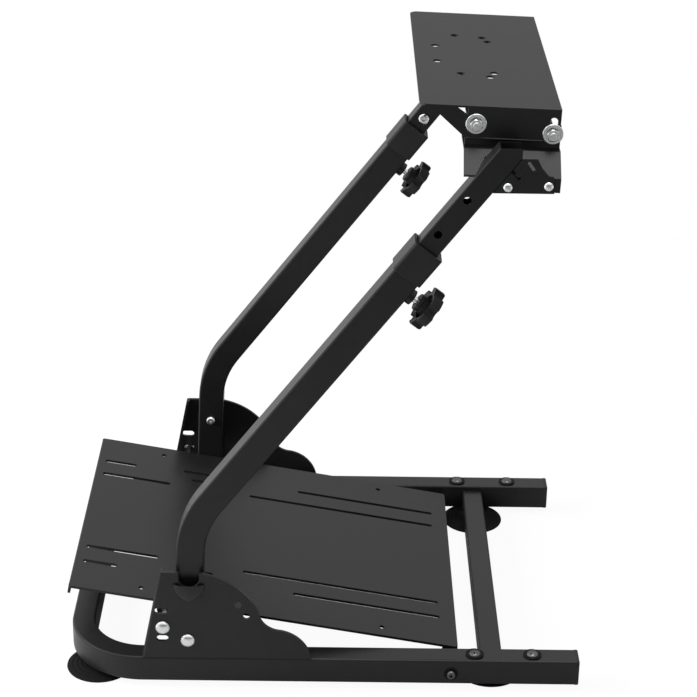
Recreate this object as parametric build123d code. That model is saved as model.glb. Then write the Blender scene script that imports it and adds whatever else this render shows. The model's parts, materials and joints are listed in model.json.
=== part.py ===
from build123d import *
import os
from math import cos, sin, radians, hypot, atan2, degrees

os.makedirs("parts", exist_ok=True)

# Millimetres. +X runs along the rails towards the driver, +Y to the driver's right, +Z up.
# The origin is the centre of the footprint, on the floor.

# Base frame
base_length = 650.0
base_width = 488.0
tube_side = 30.0
tube_height = 35.0
tube_wall = 1.5
tube_corner = 3.0
bow_radius = 83.0
foot_height = 9.0
foot_radius = 42.5
foot_inset = 49.0
cap_length = 5.0
cross_bar_side = 28.0
cross_bar_gap = 27.3
rail_bolt_spacing = 73.0
rail_bolt_setback = 132.0
rail_bolt_radius = 8.0
rail_washer_radius = 11.5
rail_washer_sheet = 2.0

# Pedal plate
pedal_width = 404.0
pedal_length = 502.0
pedal_slope = 9.77
pedal_sheet = 3.5
pedal_lip = 10.0
pedal_edge_inset = 4.0
pedal_edge_height = 122.5
pedal_pivot_inset = 8.5
pedal_pivot_drop = 14.5
pedal_bolt_along = 125.5
pedal_bolt_drop = 12.5
pedal_tab_radius = 11.0
slot_width = 6.0
high_slot_width = 7.0
slot_low_margin = 21.0
outer_slot_y = 137.0
inner_slot_y = 100.0
# Slots of one half: distance of both ends from the high edge, distance from the centre line, and width
pedal_slots = [
    (11.0, 56.0, outer_slot_y, high_slot_width),
    (11.0, 107.0, inner_slot_y, high_slot_width),
    (122.0, 167.0, outer_slot_y + 6.0, slot_width),
    (135.0, 180.0, inner_slot_y + 21.0, slot_width),
    (286.0, pedal_length - slot_low_margin, outer_slot_y, slot_width),
    (218.0, pedal_length - slot_low_margin - 1.0, inner_slot_y + 2.0, slot_width),
]
# Small holes of one half: distance from the high edge, and distance from the centre line
pedal_holes = [(91.0, 180.5), (403.0, 183.0)]
pedal_hole_radius = 3.5

# Side brackets and the uprights' pivot
bracket_sheet = 4.0
bracket_flange = 12.0
pivot_from_bow = 156.5
pivot_above_rail = 26.4
bracket_radius = 98.0
lock_radius = 81.8
lock_hole_angles = (39.2, 25.6)
lock_hole_radius = 4.5
bracket_back_bottom = 58.0
bracket_back_top = 29.5
bracket_toe = 155.0
bracket_toe_height = 40.6
bracket_heel = 18.0
notch_width = 25.0
notch_depth = 22.0
bracket_slot_back = 31.5
bracket_slot_heights = (28.6, 45.0, 68.1)
bracket_slot_length = 15.0
bracket_slot_width = 8.4

# Uprights
lower_lean = 2.0
upper_angle = 52.6
lower_length = 156.45
upright_bend = 120.0
upright_tail = 15.0
upright_gap = 5.1
spacer_radius = 9.0
collar_start = 421.4
collar_length = 41.4
collar_wall = 2.5
collar_top = 5.0
knob_station = 401.9

# Inner tubes
inner_side = 25.0
inner_height = 28.0
inner_wall = 1.5
# How far the clamp screw presses the inner tube off the upright's middle line
inner_shift = 1.5
inner_start = 290.9
inner_end = 602.9
inner_top = 13.1
inner_nose = 18.5
side_hole_first = 485.1
side_hole_pitch = 52.7
side_hole_across = -4.5
side_hole_radius = 4.8
back_hole_radius = 6.5
stop_screw_head = 7.5
stop_screw_radius = 4.0
stop_screw_station = 479.1

# Head: the tray and the wheel plate, measured from the top of the inner tubes
head_tilt = 1.94
plate_width = 390.0
plate_sheet = 2.5
plate_back = 99.8
plate_front = 62.7
plate_height = 49.8
plate_corner = 10.0
flange_depth = 38.5
flange_back = 45.0
flange_taper = 88.0
tilt_pivot = (-34.0, 29.0)
tilt_lock = (54.5, 20.8)
tilt_slot_below = 3.0
tilt_slot_above = 9.5
lug_clearance = 0.3
tray_sheet = 3.0
tray_top = 1.1
tray_back = 46.2
tray_front = 64.9
tray_waist = 36.5
tray_waist_width = 300.0
tray_flat_overhang = 3.0
tray_window_back = 28.0
tray_window_front = 46.0
tray_window_width = 250.0
ear_top = 9.0
tray_flange_top = -21.4
tray_flange_bottom = -38.3
gusset_sheet = 4.0
gusset_bottom = -40.2
gusset_top = 0.0
gusset_bolts = ((3.3, -32.7), (49.6, -31.0))
# The gusset's free edge, from the tube's top round to its lower corner
gusset_edge = ((36.5, 0.0), (41.9, -10.5), (49.7, -19.8), (55.4, -20.6))
gusset_toe = 56.5
# Slots of the gusset: the middle's place, the turn and the length
gusset_slots = ((11.1, -17.4, -45.0, 17.0), (29.3, -8.1, -56.0, 14.0))
gusset_slot_width = 4.0
# Holes of the wheel plate: place along the plate, distance apart, and centre off the middle
plate_hole_pairs = [(-72.7, 65.0, 9.0), (-46.4, 162.0, 9.0), (-12.0, 165.0, 1.5), (-6.3, 132.0, 1.0)]
plate_hole_radius = 5.5

# Fasteners and knobs
screw_radius = 4.0
running_gap = 0.08
pivot_head_radius = 9.2
pivot_head_height = 6.0
small_head_radius = 6.5
small_head_height = 5.0
washer_radius = 12.0
washer_sheet = 2.0
boss_radius = 9.5
boss_height = 8.0
knob_radius = 26.0
knob_lobes = 6
knob_thickness = 14.0
knob_reach = 40.5
knob_hub_radius = 11.0
knob_hub_height = 8.0

# Sizes that follow
half_length = base_length / 2
half_width = base_width / 2
rail_bottom = foot_height
rail_top = foot_height + tube_height
rail_middle = half_width - tube_side / 2
rail_inner = half_width - tube_side
half_pedal = pedal_width / 2
pedal_pivot_along = pedal_length - pedal_pivot_inset
pedal_low_x = -half_length + pedal_edge_inset + pedal_length * cos(radians(pedal_slope))
cross_bar_x = pedal_low_x + cross_bar_gap + cross_bar_side / 2
pivot_x = -half_length + pivot_from_bow
pivot_z = rail_top + pivot_above_rail
upright_y = half_width - bracket_sheet - upright_gap - tube_side / 2
half_plate = plate_width / 2
tube_direction = (cos(radians(upper_angle)), sin(radians(upper_angle)))
tube_normal = (sin(radians(upper_angle)), -cos(radians(upper_angle)))
bend_x = pivot_x + lower_length * sin(radians(lower_lean))
bend_z = pivot_z + lower_length * cos(radians(lower_lean))
collar_end = collar_start + collar_length
upright_end = collar_end - collar_top
inner_outer_y = upright_y + inner_side / 2
gusset_y = inner_outer_y - gusset_sheet


def tube_point(along, across=0.0):
    """Gives X and Z of a place on the leaning tubes, measured from the uprights' bend."""
    x = bend_x + along * tube_direction[0] + across * tube_normal[0]
    z = bend_z + along * tube_direction[1] + across * tube_normal[1]
    return x, z


head_x, head_z = tube_point(inner_end, -inner_shift)


def head_point(along, up):
    """Gives X and Z of a place on the head, which leans a little to the driver."""
    lean = radians(head_tilt)
    return head_x + along * cos(lean) + up * sin(lean), head_z - along * sin(lean) + up * cos(lean)


def pedal_point(along, drop=0.0):
    """Gives X and Z of a place on the pedal plate, measured down its slope from the high edge."""
    slope = radians(pedal_slope)
    x = -half_length + pedal_edge_inset + along * cos(slope) - drop * sin(slope)
    z = pedal_edge_height - along * sin(slope) - drop * cos(slope)
    return x, z


def slab(face, y_low, y_high):
    """Makes a plate from a face drawn in X and Z."""
    return extrude(Plane.XZ.offset(-y_high) * face, amount=y_high - y_low)


def cross_rod(place, radius, y_low, y_high):
    """Makes a rod along Y at a place given as X and Z."""
    return slab(Pos(place[0], place[1]) * Circle(radius), y_low, y_high)


def other_side(solid):
    """Gives the same piece on the driver's right."""
    return mirror(solid, about=Plane.XZ)


def both_sides(solid):
    """Gives a piece of the left side and the same on the right, as one node."""
    return Compound([solid, other_side(solid)])


def save(solid, name):
    """Writes one node."""
    export_step(solid, f"parts/{name}.step")


def u_band(inset):
    """Makes the plan of the bent base tube, drawn in by an inset on every side."""
    width = base_width - 2 * inset
    outer = Rectangle(base_length - 2 * inset, width)
    outer = fillet(outer.vertices().group_by(Axis.X)[0], bow_radius + tube_side / 2 - inset)
    gap = tube_side - inset
    inner = Pos(gap, 0) * Rectangle(base_length, base_width - 2 * gap)
    inner = fillet(inner.vertices().group_by(Axis.X)[0], bow_radius - tube_side / 2 + inset)
    return outer - inner


def make_base_frame():
    """Makes the two rails and the bow between them from one bent tube."""
    end = half_length - cap_length
    keep = Pos(-half_length + end, 0, rail_bottom) * Box(2 * half_length, 2 * base_width, 4 * tube_side)
    frame = Pos(0, 0, rail_bottom) * extrude(u_band(0), amount=tube_height)
    long_edges = frame.faces().sort_by(Axis.Z)[-1].edges() + frame.faces().sort_by(Axis.Z)[0].edges()
    frame = fillet([e for e in long_edges if e.center().X < end], tube_corner)
    hole = tube_side - 2 * tube_wall
    hollow_plan = u_band(tube_wall)
    for side in (-1, 1):
        hollow_plan += Pos(end, side * rail_middle) * Rectangle(4 * cap_length, hole)
    hollow = Pos(0, 0, rail_bottom + tube_wall) * extrude(hollow_plan, amount=tube_height - 2 * tube_wall)
    frame = (frame - hollow) & keep
    return frame - cross_rod(pedal_point(pedal_pivot_along, pedal_pivot_drop), screw_radius + 0.3,
                             -base_width, base_width)


def make_end_cap():
    """Makes the plastic plug in the left rail's end: a cover and a stub inside the tube."""
    middle = Pos(half_length, -rail_middle, rail_bottom + tube_height / 2)
    cover = Pos(-cap_length / 2, 0, 0) * Box(cap_length, tube_side, tube_height)
    cover = fillet(cover.edges().filter_by(Axis.X) + cover.edges().group_by(Axis.X)[-1], 0.4 * cap_length)
    stub = Box(3 * cap_length, tube_side - 2 * tube_wall, tube_height - 2 * tube_wall)
    return middle * (cover + Pos(-2.5 * cap_length, 0, 0) * stub)


def make_cross_bar():
    """Makes the square tube between the rails."""
    length = 2 * rail_inner
    middle = Pos(cross_bar_x, 0, rail_bottom + cross_bar_side / 2)
    bar = Box(cross_bar_side, length, cross_bar_side)
    bar = fillet(bar.edges().filter_by(Axis.Y), tube_corner)
    hole = cross_bar_side - 2 * tube_wall
    return middle * (bar - Box(hole, length, hole))


def make_foot(x, y):
    """Makes one ribbed rubber foot with its hub under the tube."""
    steps = [(foot_radius, 0.0, 2.6), (foot_radius - 3.5, 2.6, 4.4), (foot_radius - 9.0, 4.4, 6.2)]
    foot = Pos(x, y, 3.1) * Cylinder(tube_side / 2 - 1.0, 6.2)
    for radius, low, high in steps:
        foot += Pos(x, y, (low + high) / 2) * Cylinder(radius, high - low)
    return foot + Pos(x, y, (6.2 + foot_height) / 2) * Cylinder(tube_side / 2 - 1.0, foot_height - 6.2)


def bracket_outline():
    """Draws the side bracket in X and Z: a sector about the pivot with a toe along the rail."""
    top = pivot_z + bracket_radius - 0.5
    start = (pivot_x + bracket_radius * cos(radians(80)), pivot_z + bracket_radius * sin(radians(80)))
    middle = (pivot_x + bracket_radius * cos(radians(53)), pivot_z + bracket_radius * sin(radians(53)))
    end = (pivot_x + bracket_radius * cos(radians(25)), pivot_z + bracket_radius * sin(radians(25)))
    heel = (pivot_x + bracket_radius + bracket_heel, rail_top + bracket_toe_height)
    dip = (pivot_x + bracket_radius + 1.5, rail_top + bracket_toe_height + 6.5)
    brow = (pivot_x + bracket_toe - 15.0, rail_top + bracket_toe_height - 12.0)
    toe = (pivot_x + bracket_toe, rail_top)
    back_low = (pivot_x - bracket_back_bottom, rail_top)
    back_high = (pivot_x - bracket_back_top, top)
    outline = Polyline(toe, back_low, back_high, (start[0] - 6.0, top), start)
    outline += ThreePointArc(start, middle, end)
    outline += ThreePointArc(end, dip, heel)
    outline += ThreePointArc(heel, brow, toe)
    return make_face(outline)


def make_side_bracket():
    """Makes the left bracket with its slots, lock holes, top notch and bent back edge."""
    face = bracket_outline()
    notch_middle = pivot_x + 3.0
    notch_top = pivot_z + bracket_radius
    low = notch_top - notch_depth + notch_width / 2
    face -= Pos(notch_middle, low) * Circle(notch_width / 2)
    face -= Pos(notch_middle, low + notch_depth) * Rectangle(notch_width, 2 * notch_depth)
    face -= Pos(pivot_x, pivot_z) * Circle(screw_radius + running_gap)
    for height in bracket_slot_heights:
        slot = SlotOverall(bracket_slot_length, bracket_slot_width)
        face -= Pos(pivot_x - bracket_slot_back, rail_top + height) * slot
    for angle in lock_hole_angles:
        across, up = lock_radius * cos(radians(angle)), lock_radius * sin(radians(angle))
        face -= Pos(pivot_x + across, pivot_z + up) * Circle(lock_hole_radius)
    plate = slab(face, -half_width, -half_width + bracket_sheet)
    top = pivot_z + bracket_radius - 0.5
    edge = [(pivot_x - bracket_back_bottom, rail_top), (pivot_x - bracket_back_top, top)]
    edge += [(edge[1][0] + bracket_sheet, top), (edge[0][0] + bracket_sheet, rail_top)]
    flange = slab(make_face(Polyline(*edge, close=True)), -half_width, -half_width + bracket_flange)
    bracket = plate + flange
    bend = [e for e in bracket.edges() if abs(e.center().Y + half_width) < 0.1 and e.length > bracket_radius
            and e.center().X < pivot_x - bracket_back_top - 5.0]
    return fillet(bend, bracket_sheet * 0.9)


def make_pedal_plate():
    """Makes the sloping pedal plate with its slots, front lip and four side tabs."""
    high = pedal_point(0)
    slope = radians(pedal_slope)
    place = Plane(origin=(high[0], 0, high[1]), x_dir=(cos(slope), 0, -sin(slope)),
                  z_dir=(sin(slope), 0, cos(slope)))
    face = Pos(pedal_length / 2, 0) * RectangleRounded(pedal_length, pedal_width, 4.0)
    for start, end, y, width in pedal_slots:
        for side in (-1, 1):
            face -= Pos((start + end) / 2, side * y) * SlotOverall(end - start, width)
    for along, y in pedal_holes:
        for side in (-1, 1):
            face -= Pos(along, side * y) * Circle(pedal_hole_radius)
    plate = place * extrude(face, amount=-pedal_sheet)
    lip_drop = pedal_sheet + pedal_lip
    lip = Pos(pedal_sheet / 2, 0, -lip_drop / 2) * Box(pedal_sheet, pedal_width - 8.0, lip_drop)
    plate += place * lip
    for along, drop in ((pedal_bolt_along, pedal_bolt_drop), (pedal_pivot_along, pedal_pivot_drop)):
        tab = make_pedal_tab(along, drop)
        plate = plate + tab + other_side(tab)
    low_end = place * Pos(pedal_length, 0, 0) * Box(2 * pedal_tab_radius, 2 * pedal_width, pedal_length)
    return plate - (Pos(pedal_tab_radius * cos(slope), 0, 0) * low_end)


def make_pedal_tab(along, drop):
    """Makes one ear of the pedal plate, bent down on the left edge round a bolt."""
    hole = pedal_point(along, drop)
    upper = pedal_point(along, pedal_sheet / 2)
    ear = Pos(*hole) * Circle(pedal_tab_radius)
    middle = ((hole[0] + upper[0]) / 2, (hole[1] + upper[1]) / 2)
    height = hypot(hole[0] - upper[0], hole[1] - upper[1])
    ear += Pos(*middle) * Rot(0, 0, -pedal_slope) * Rectangle(2 * pedal_tab_radius, height)
    ear -= Pos(*hole) * Circle(screw_radius + 0.3)
    return slab(ear, -half_pedal, -half_pedal + pedal_sheet)


def make_upright():
    """Makes the left outer tube: a short lower leg, a bend and the long leaning leg."""
    lean = radians(lower_lean)
    foot = (pivot_x - upright_tail * sin(lean), pivot_z - upright_tail * cos(lean))
    tip = tube_point(upright_end)
    points = [(foot[0], -upright_y, foot[1]), (bend_x, -upright_y, bend_z), (tip[0], -upright_y, tip[1])]
    path = FilletPolyline(*points, radius=upright_bend)
    start = Plane(origin=points[0], x_dir=(0, 1, 0), z_dir=path % 0)
    outer = sweep(start * RectangleRounded(tube_side, tube_height, tube_corner), path=path)
    bore = RectangleRounded(tube_side - 2 * tube_wall, tube_height - 2 * tube_wall, tube_corner - tube_wall)
    inner = sweep(start * bore, path=path)
    tube = outer - inner
    tube -= cross_rod((pivot_x, pivot_z), screw_radius + running_gap, -base_width, base_width)
    tube -= cross_rod(lock_place(), screw_radius + 0.3, -upright_y, 0)
    return tube - knob_plane() * Pos(0, 0, tube_height / 2) * Cylinder(screw_radius + 0.4, 12)


def lock_place():
    """Gives X and Z of the bolt that locks the upright, on its lower leg."""
    lean = radians(lower_lean)
    return pivot_x + lock_radius * sin(lean), pivot_z + lock_radius * cos(lean)


def knob_plane():
    """Gives the frame of the left clamp screw: its axis leaves the tube's lower side."""
    x, z = tube_point(knob_station)
    return Plane(origin=(x, -upright_y, z), x_dir=(0, 1, 0), z_dir=(tube_normal[0], 0, tube_normal[1]))


def tube_plane(along, across=0.0):
    """Gives a frame across the left leaning tube at a place along it."""
    x, z = tube_point(along, across)
    return Plane(origin=(x, -upright_y, z), x_dir=(0, 1, 0), z_dir=(tube_direction[0], 0, tube_direction[1]))


def make_collar():
    """Makes the plastic sleeve over the upright's open end, with a lip round the inner tube."""
    place = tube_plane(collar_start)
    outside = RectangleRounded(tube_side + 2 * collar_wall, tube_height + 2 * collar_wall, 4.0)
    sleeve = extrude(place * outside, collar_length)
    inside = RectangleRounded(tube_side, tube_height, tube_corner)
    sleeve -= extrude(place * inside, collar_length - collar_top)
    opening = RectangleRounded(inner_side + 0.8, inner_height + 0.8, 2.0)
    return sleeve - extrude(tube_plane(collar_start, -inner_shift) * opening, collar_length)


def make_boss():
    """Makes the welded nut that the clamp screw runs in."""
    nut = Pos(0, 0, tube_height / 2 + boss_height / 2) * Cylinder(boss_radius, boss_height)
    nut -= Pos(0, 0, tube_height / 2) * Cylinder(screw_radius + running_gap, 4 * boss_height)
    return knob_plane() * nut


def make_knob_screw():
    """Makes the clamp screw, from just off the inner tube to inside the knob."""
    start = inner_height / 2 - inner_shift + 0.6
    length = knob_reach - start
    return knob_plane() * Pos(0, 0, start + length / 2) * Cylinder(screw_radius, length)


def make_knob():
    """Makes the star knob and its hub on the screw's end."""
    lobe = knob_radius * 0.3
    star = Circle(knob_radius * 0.82)
    for place in PolarLocations(knob_radius - lobe, knob_lobes):
        star += place * Circle(lobe)
    head = Pos(0, 0, knob_reach) * extrude(star, amount=knob_thickness)
    rims = head.edges().group_by(Axis.Z)
    head = fillet(rims[0] + rims[-1], 2.0)
    hub = Pos(0, 0, knob_reach - knob_hub_height / 2) * Cylinder(knob_hub_radius, knob_hub_height)
    hub -= Pos(0, 0, knob_reach - knob_hub_height / 2) * Cylinder(screw_radius, knob_hub_height)
    return knob_plane() * (head + hub)


def make_inner_tube():
    """Makes the left sliding tube with its side holes and its trimmed upper end."""
    length = inner_end + 2 * inner_height - inner_start
    place = tube_plane(inner_start, -inner_shift)
    tube = extrude(place * RectangleRounded(inner_side, inner_height, 2.0), length)
    bore = RectangleRounded(inner_side - 2 * inner_wall, inner_height - 2 * inner_wall, 1.0)
    tube -= extrude(place * bore, length)
    for step in range(2):
        hole = tube_point(side_hole_first + step * side_hole_pitch, side_hole_across)
        tube -= cross_rod(hole, side_hole_radius, -base_width, -upright_y)
    tube -= cross_rod(hole, back_hole_radius, -upright_y, 0)
    tube -= cross_rod(tube_point(stop_screw_station, -inner_shift), stop_screw_radius, -upright_y, 0)
    above = 4 * inner_height
    tube -= Pos(head_x, -upright_y, head_z + inner_top + above / 2) * Box(above, above, above)
    nose = Pos(head_x + inner_nose + above / 2, -upright_y, head_z + gusset_top + above / 2)
    return tube - nose * Box(above, above, above)


def make_stop_screw():
    """Makes the screw that limits the slide, with its head on the tube's inner face."""
    place = tube_point(stop_screw_station, -inner_shift)
    face = -upright_y + inner_side / 2
    head = cross_rod(place, stop_screw_head, face, face + small_head_height - 1.0)
    return head + cross_rod(place, stop_screw_radius - 0.3, face - inner_wall, face)


def make_gusset():
    """Makes the plate beside the left inner tube's top that carries the tray."""
    side = tube_point(inner_end, inner_height / 2 - inner_shift)
    lean = tube_direction[0] / tube_direction[1]
    low, high = head_z + gusset_bottom, head_z + gusset_top
    root = (side[0] + (low - side[1]) * lean, low)
    top = (side[0] + (high - side[1]) * lean, high)
    free = [(head_x + dx, head_z + dz) for dx, dz in (*gusset_edge, (gusset_toe, gusset_bottom))]
    points = [root, top, *free]
    face = make_face(Polyline(*points, close=True))
    for dx, dz in gusset_bolts:
        face -= Pos(head_x + dx, head_z + dz) * Circle(screw_radius + 0.3)
    for dx, dz, turn, length in gusset_slots:
        slot = Rot(0, 0, turn) * SlotOverall(length, gusset_slot_width)
        face -= Pos(head_x + dx, head_z + dz) * slot
    return slab(face, -inner_outer_y, -gusset_y)


def make_tray():
    """Makes the bent cross plate under the wheel plate, with its sloping ends and end flanges."""
    flat_end = half_plate + tray_flat_overhang
    flange_end = gusset_y
    top, turn, low = tray_top, tray_flange_top, tray_flange_bottom
    outer = [(0, top), (flat_end, top), (flange_end, turn), (flange_end, low)]
    inner = [(flange_end - tray_sheet, low), (flange_end - tray_sheet, turn - 1.5),
             (flat_end - 1.0, top - tray_sheet), (0, top - tray_sheet)]
    half = make_face(Polyline(*outer, *inner, close=True))
    profile = half + mirror(half, about=Plane.YZ)
    place = head_plane()
    across = Plane(origin=place.origin, x_dir=(0, 1, 0), z_dir=place.x_dir)
    length = tray_back + tray_front
    tray = extrude(across.offset(-tray_back) * profile, amount=length)
    window = Box(tray_window_back + tray_window_front, tray_window_width, 4 * tray_sheet)
    tray -= place * Pos((tray_window_front - tray_window_back) / 2, 0, tray_top) * window
    waist = Box(2 * (tray_back - tray_waist), tray_waist_width, 4 * tray_sheet)
    tray -= place * Pos(-tray_back, 0, tray_top) * waist
    notch = make_tray_notch()
    tray = tray - notch - other_side(notch)
    for dx, dz in gusset_bolts:
        tray -= cross_rod((head_x + dx, head_z + dz), screw_radius + 0.3, -base_width, base_width)
    lug = make_lug()
    return tray + lug + other_side(lug)


def make_tray_notch():
    """Makes the space that the tray's left end leaves for an inner tube and its gusset's root."""
    room = inner_side + 1.0
    reach = 4.0 * inner_height
    start = tube_plane(inner_end - reach, -inner_shift)
    notch = extrude(start * Rectangle(room, inner_height + 1.0), amount=2 * reach)
    return notch + Pos(head_x - reach / 2, -upright_y, head_z - 2.8 * inner_height) * Box(reach, room, reach)


def head_plane():
    """Gives the head's frame: x along the wheel plate to the driver, z up out of the plate."""
    lean = radians(head_tilt)
    along = (cos(lean), 0, -sin(lean))
    return Plane(origin=(head_x, 0, head_z), x_dir=along, z_dir=(sin(lean), 0, cos(lean)))


def make_lug():
    """Makes the tray's upright wall inside the wheel plate's left flange, which takes both tilt bolts."""
    outer = half_plate - plate_sheet - lug_clearance
    low = tray_top - 0.5
    back, front = -flange_back - 0.6, tray_front - 1.0
    high = tilt_pivot[1] + ear_top
    points = [(back, low), (front, low), (front, tilt_lock[1] + ear_top)]
    points += [(tilt_pivot[0] + 2 * ear_top, high), (back, high)]
    face = make_face(Polyline(*[head_point(*p) for p in points], close=True))
    for bolt in (tilt_pivot, tilt_lock):
        face -= Pos(*head_point(*bolt)) * Circle(screw_radius + 0.3)
    return slab(face, -outer, -outer + tray_sheet)


def make_wheel_plate():
    """Makes the wheel plate with its holes and its two side flanges."""
    length = plate_back + plate_front
    face = Pos((plate_front - plate_back) / 2, 0) * Rectangle(length, plate_width)
    face = fillet(face.vertices().group_by(Axis.X)[0], plate_corner)
    for along, apart, middle in plate_hole_pairs:
        for side in (-1, 1):
            face -= Pos(along, middle + side * apart / 2) * Circle(plate_hole_radius)
    plate = head_plane() * Pos(0, 0, plate_height) * extrude(face, amount=-plate_sheet)
    flange = make_flange()
    return plate + flange + other_side(flange)


def make_flange():
    """Makes the wheel plate's left side: pivot hole, arc slot and a tapering back end."""
    top = plate_height - plate_sheet / 2
    low = plate_height - flange_depth
    points = [(plate_front, top), (plate_front, low), (-flange_back, low), (-flange_taper, top)]
    face = make_face(Polyline(*[head_point(*p) for p in points], close=True))
    under, edge = plate_height - plate_sheet, -flange_back + 0.9
    gap = [(edge - 12.5, under), (edge, under), (edge, under - 8.5)]
    face -= make_face(Polyline(*[head_point(*p) for p in gap], close=True))
    pivot = head_point(*tilt_pivot)
    face -= Pos(*pivot) * Circle(screw_radius + running_gap)
    reach = hypot(tilt_lock[0] - tilt_pivot[0], tilt_lock[1] - tilt_pivot[1])
    angle = degrees(atan2(tilt_lock[1] - tilt_pivot[1], tilt_lock[0] - tilt_pivot[0])) - head_tilt
    arc = CenterArc(pivot, reach, angle - tilt_slot_below, tilt_slot_below + tilt_slot_above)
    face -= SlotArc(arc, 2 * screw_radius + 1.0)
    return slab(face, -half_plate, -half_plate + plate_sheet)


def make_plate_bolt(place):
    """Makes one bolt of the left flange: washer and nut outside, shank, head inside the lug."""
    outside = -half_plate
    inside = -half_plate + plate_sheet + lug_clearance + tray_sheet
    bolt = cross_rod(place, washer_radius, outside - washer_sheet, outside)
    nut = Pos(*place) * RegularPolygon(small_head_radius + 1.0, 6)
    bolt += slab(nut, outside - washer_sheet - small_head_height, outside - washer_sheet)
    bolt += cross_rod(place, screw_radius, outside - washer_sheet - small_head_height - 2.0, inside)
    return bolt + cross_rod(place, small_head_radius, inside, inside + small_head_height)


def make_gusset_bolt(dx, dz):
    """Makes one bolt through the left gusset and the tray's flange."""
    place = (head_x + dx, head_z + dz)
    inside = -gusset_y + tray_sheet
    bolt = cross_rod(place, small_head_radius - 0.9, -inner_outer_y - small_head_height + 1.0, -inner_outer_y)
    bolt += cross_rod(place, screw_radius, -inner_outer_y, inside)
    return bolt + cross_rod(place, small_head_radius, inside, inside + small_head_height)


def make_pivot_bolt():
    """Makes the bolt that the left upright folds about, with a spacer inside the bracket."""
    place = (pivot_x, pivot_z)
    inside = -upright_y + tube_side / 2 + 0.5
    bolt = cross_rod(place, pivot_head_radius, -half_width - pivot_head_height, -half_width)
    bolt += cross_rod(place, screw_radius, -half_width, inside)
    face = -half_width + bracket_sheet
    bolt += cross_rod(place, spacer_radius, face, face + upright_gap - 0.5)
    return bolt + cross_rod(place, small_head_radius, inside, inside + small_head_height)


def make_lock_bolt():
    """Makes the lock bolt in the left upright's lower leg, with its head on the inner face."""
    inside = -upright_y + tube_side / 2
    bolt = cross_rod(lock_place(), screw_radius, -upright_y, inside)
    return bolt + cross_rod(lock_place(), small_head_radius, inside, inside + small_head_height)


def make_pedal_bolt():
    """Makes the bolt that holds the high end of the pedal plate to the left bracket."""
    place = pedal_point(pedal_bolt_along, pedal_bolt_drop)
    inside = -half_pedal + pedal_sheet
    bolt = cross_rod(place, pivot_head_radius, -half_width - pivot_head_height, -half_width)
    bolt += cross_rod(place, screw_radius, -half_width, inside)
    return bolt + cross_rod(place, small_head_radius, inside, inside + small_head_height)


def make_pedal_pivot_bolt():
    """Makes the bolt through the left rail that holds the low end of the pedal plate."""
    place = pedal_point(pedal_pivot_along, pedal_pivot_drop)
    inside = -half_pedal + pedal_sheet
    bolt = cross_rod(place, small_head_radius, -half_width - small_head_height, -half_width)
    bolt += cross_rod(place, screw_radius, -half_width, inside)
    return bolt + cross_rod(place, small_head_radius, inside, inside + small_head_height)


def make_rail_bolts():
    """Makes the two round bolt heads with washers on top of the left rail."""
    heads = []
    for step in range(2):
        x = half_length - rail_bolt_setback + step * rail_bolt_spacing
        head = Pos(0, 0, small_head_height / 2) * Cylinder(rail_bolt_radius, small_head_height)
        head = fillet(head.edges().group_by(Axis.Z)[-1], small_head_height / 2)
        washer = Pos(0, 0, rail_washer_sheet / 2) * Cylinder(rail_washer_radius, rail_washer_sheet)
        heads.append(Pos(x, -rail_middle, rail_top) * (head + washer))
    return heads


def build_base():
    """Builds the nodes that stay on the floor."""
    save(make_base_frame(), "base_frame")
    save(make_cross_bar(), "cross_bar")
    save(both_sides(make_end_cap()), "rail_end_caps")
    bow_centre = -half_length + bow_radius + tube_side / 2
    reach = bow_radius * cos(radians(45))
    foot_y = half_width - foot_inset
    save(make_foot(bow_centre - reach, -foot_y), "front_left_foot")
    save(make_foot(bow_centre - reach, foot_y), "front_right_foot")
    save(make_foot(cross_bar_x, -foot_y), "rear_left_foot")
    save(make_foot(cross_bar_x, foot_y), "rear_right_foot")
    bracket = make_side_bracket()
    save(bracket, "left_side_bracket")
    save(other_side(bracket), "right_side_bracket")
    save(make_pedal_plate(), "pedal_plate")
    save(both_sides(make_pedal_bolt()), "pedal_height_bolts")
    save(both_sides(make_pedal_pivot_bolt()), "pedal_pivot_bolts")
    save(both_sides(make_pivot_bolt()), "upright_pivot_bolts")
    heads = make_rail_bolts()
    save(Compound(heads + [other_side(h) for h in heads]), "rail_top_bolts")


def build_uprights():
    """Builds the nodes that fold with the uprights, and the knobs on them."""
    pieces = {"upright": make_upright(), "collar": make_collar(), "clamp_nut": make_boss(),
              "clamp_screw": make_knob_screw(), "clamp_knob": make_knob()}
    for name, piece in pieces.items():
        save(piece, f"left_{name}")
        save(other_side(piece), f"right_{name}")
    save(both_sides(make_lock_bolt()), "upright_lock_bolts")


def build_head():
    """Builds the nodes that slide up with the inner tubes, and the wheel plate."""
    for name, piece in {"inner_tube": make_inner_tube(), "gusset": make_gusset()}.items():
        save(piece, f"left_{name}")
        save(other_side(piece), f"right_{name}")
    save(both_sides(make_stop_screw()), "slide_stop_screws")
    save(make_tray(), "tray")
    bolts = [make_gusset_bolt(*place) for place in gusset_bolts]
    save(Compound(bolts + [other_side(b) for b in bolts]), "tray_bolts")
    save(both_sides(make_plate_bolt(head_point(*tilt_pivot))), "tilt_pivot_bolts")
    save(both_sides(make_plate_bolt(head_point(*tilt_lock))), "tilt_lock_bolts")
    save(make_wheel_plate(), "wheel_plate")


build_base()
build_uprights()
build_head()
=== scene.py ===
"""Looks of a folding racing wheel stand: finishes, softened sheets, fasteners, feet, knobs and studio."""
import json
import logging
import math
from collections.abc import Callable, Sequence
from dataclasses import dataclass, field
from enum import Enum
from typing import Any

import bmesh
import bpy
from mathutils import Matrix, Vector


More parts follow.
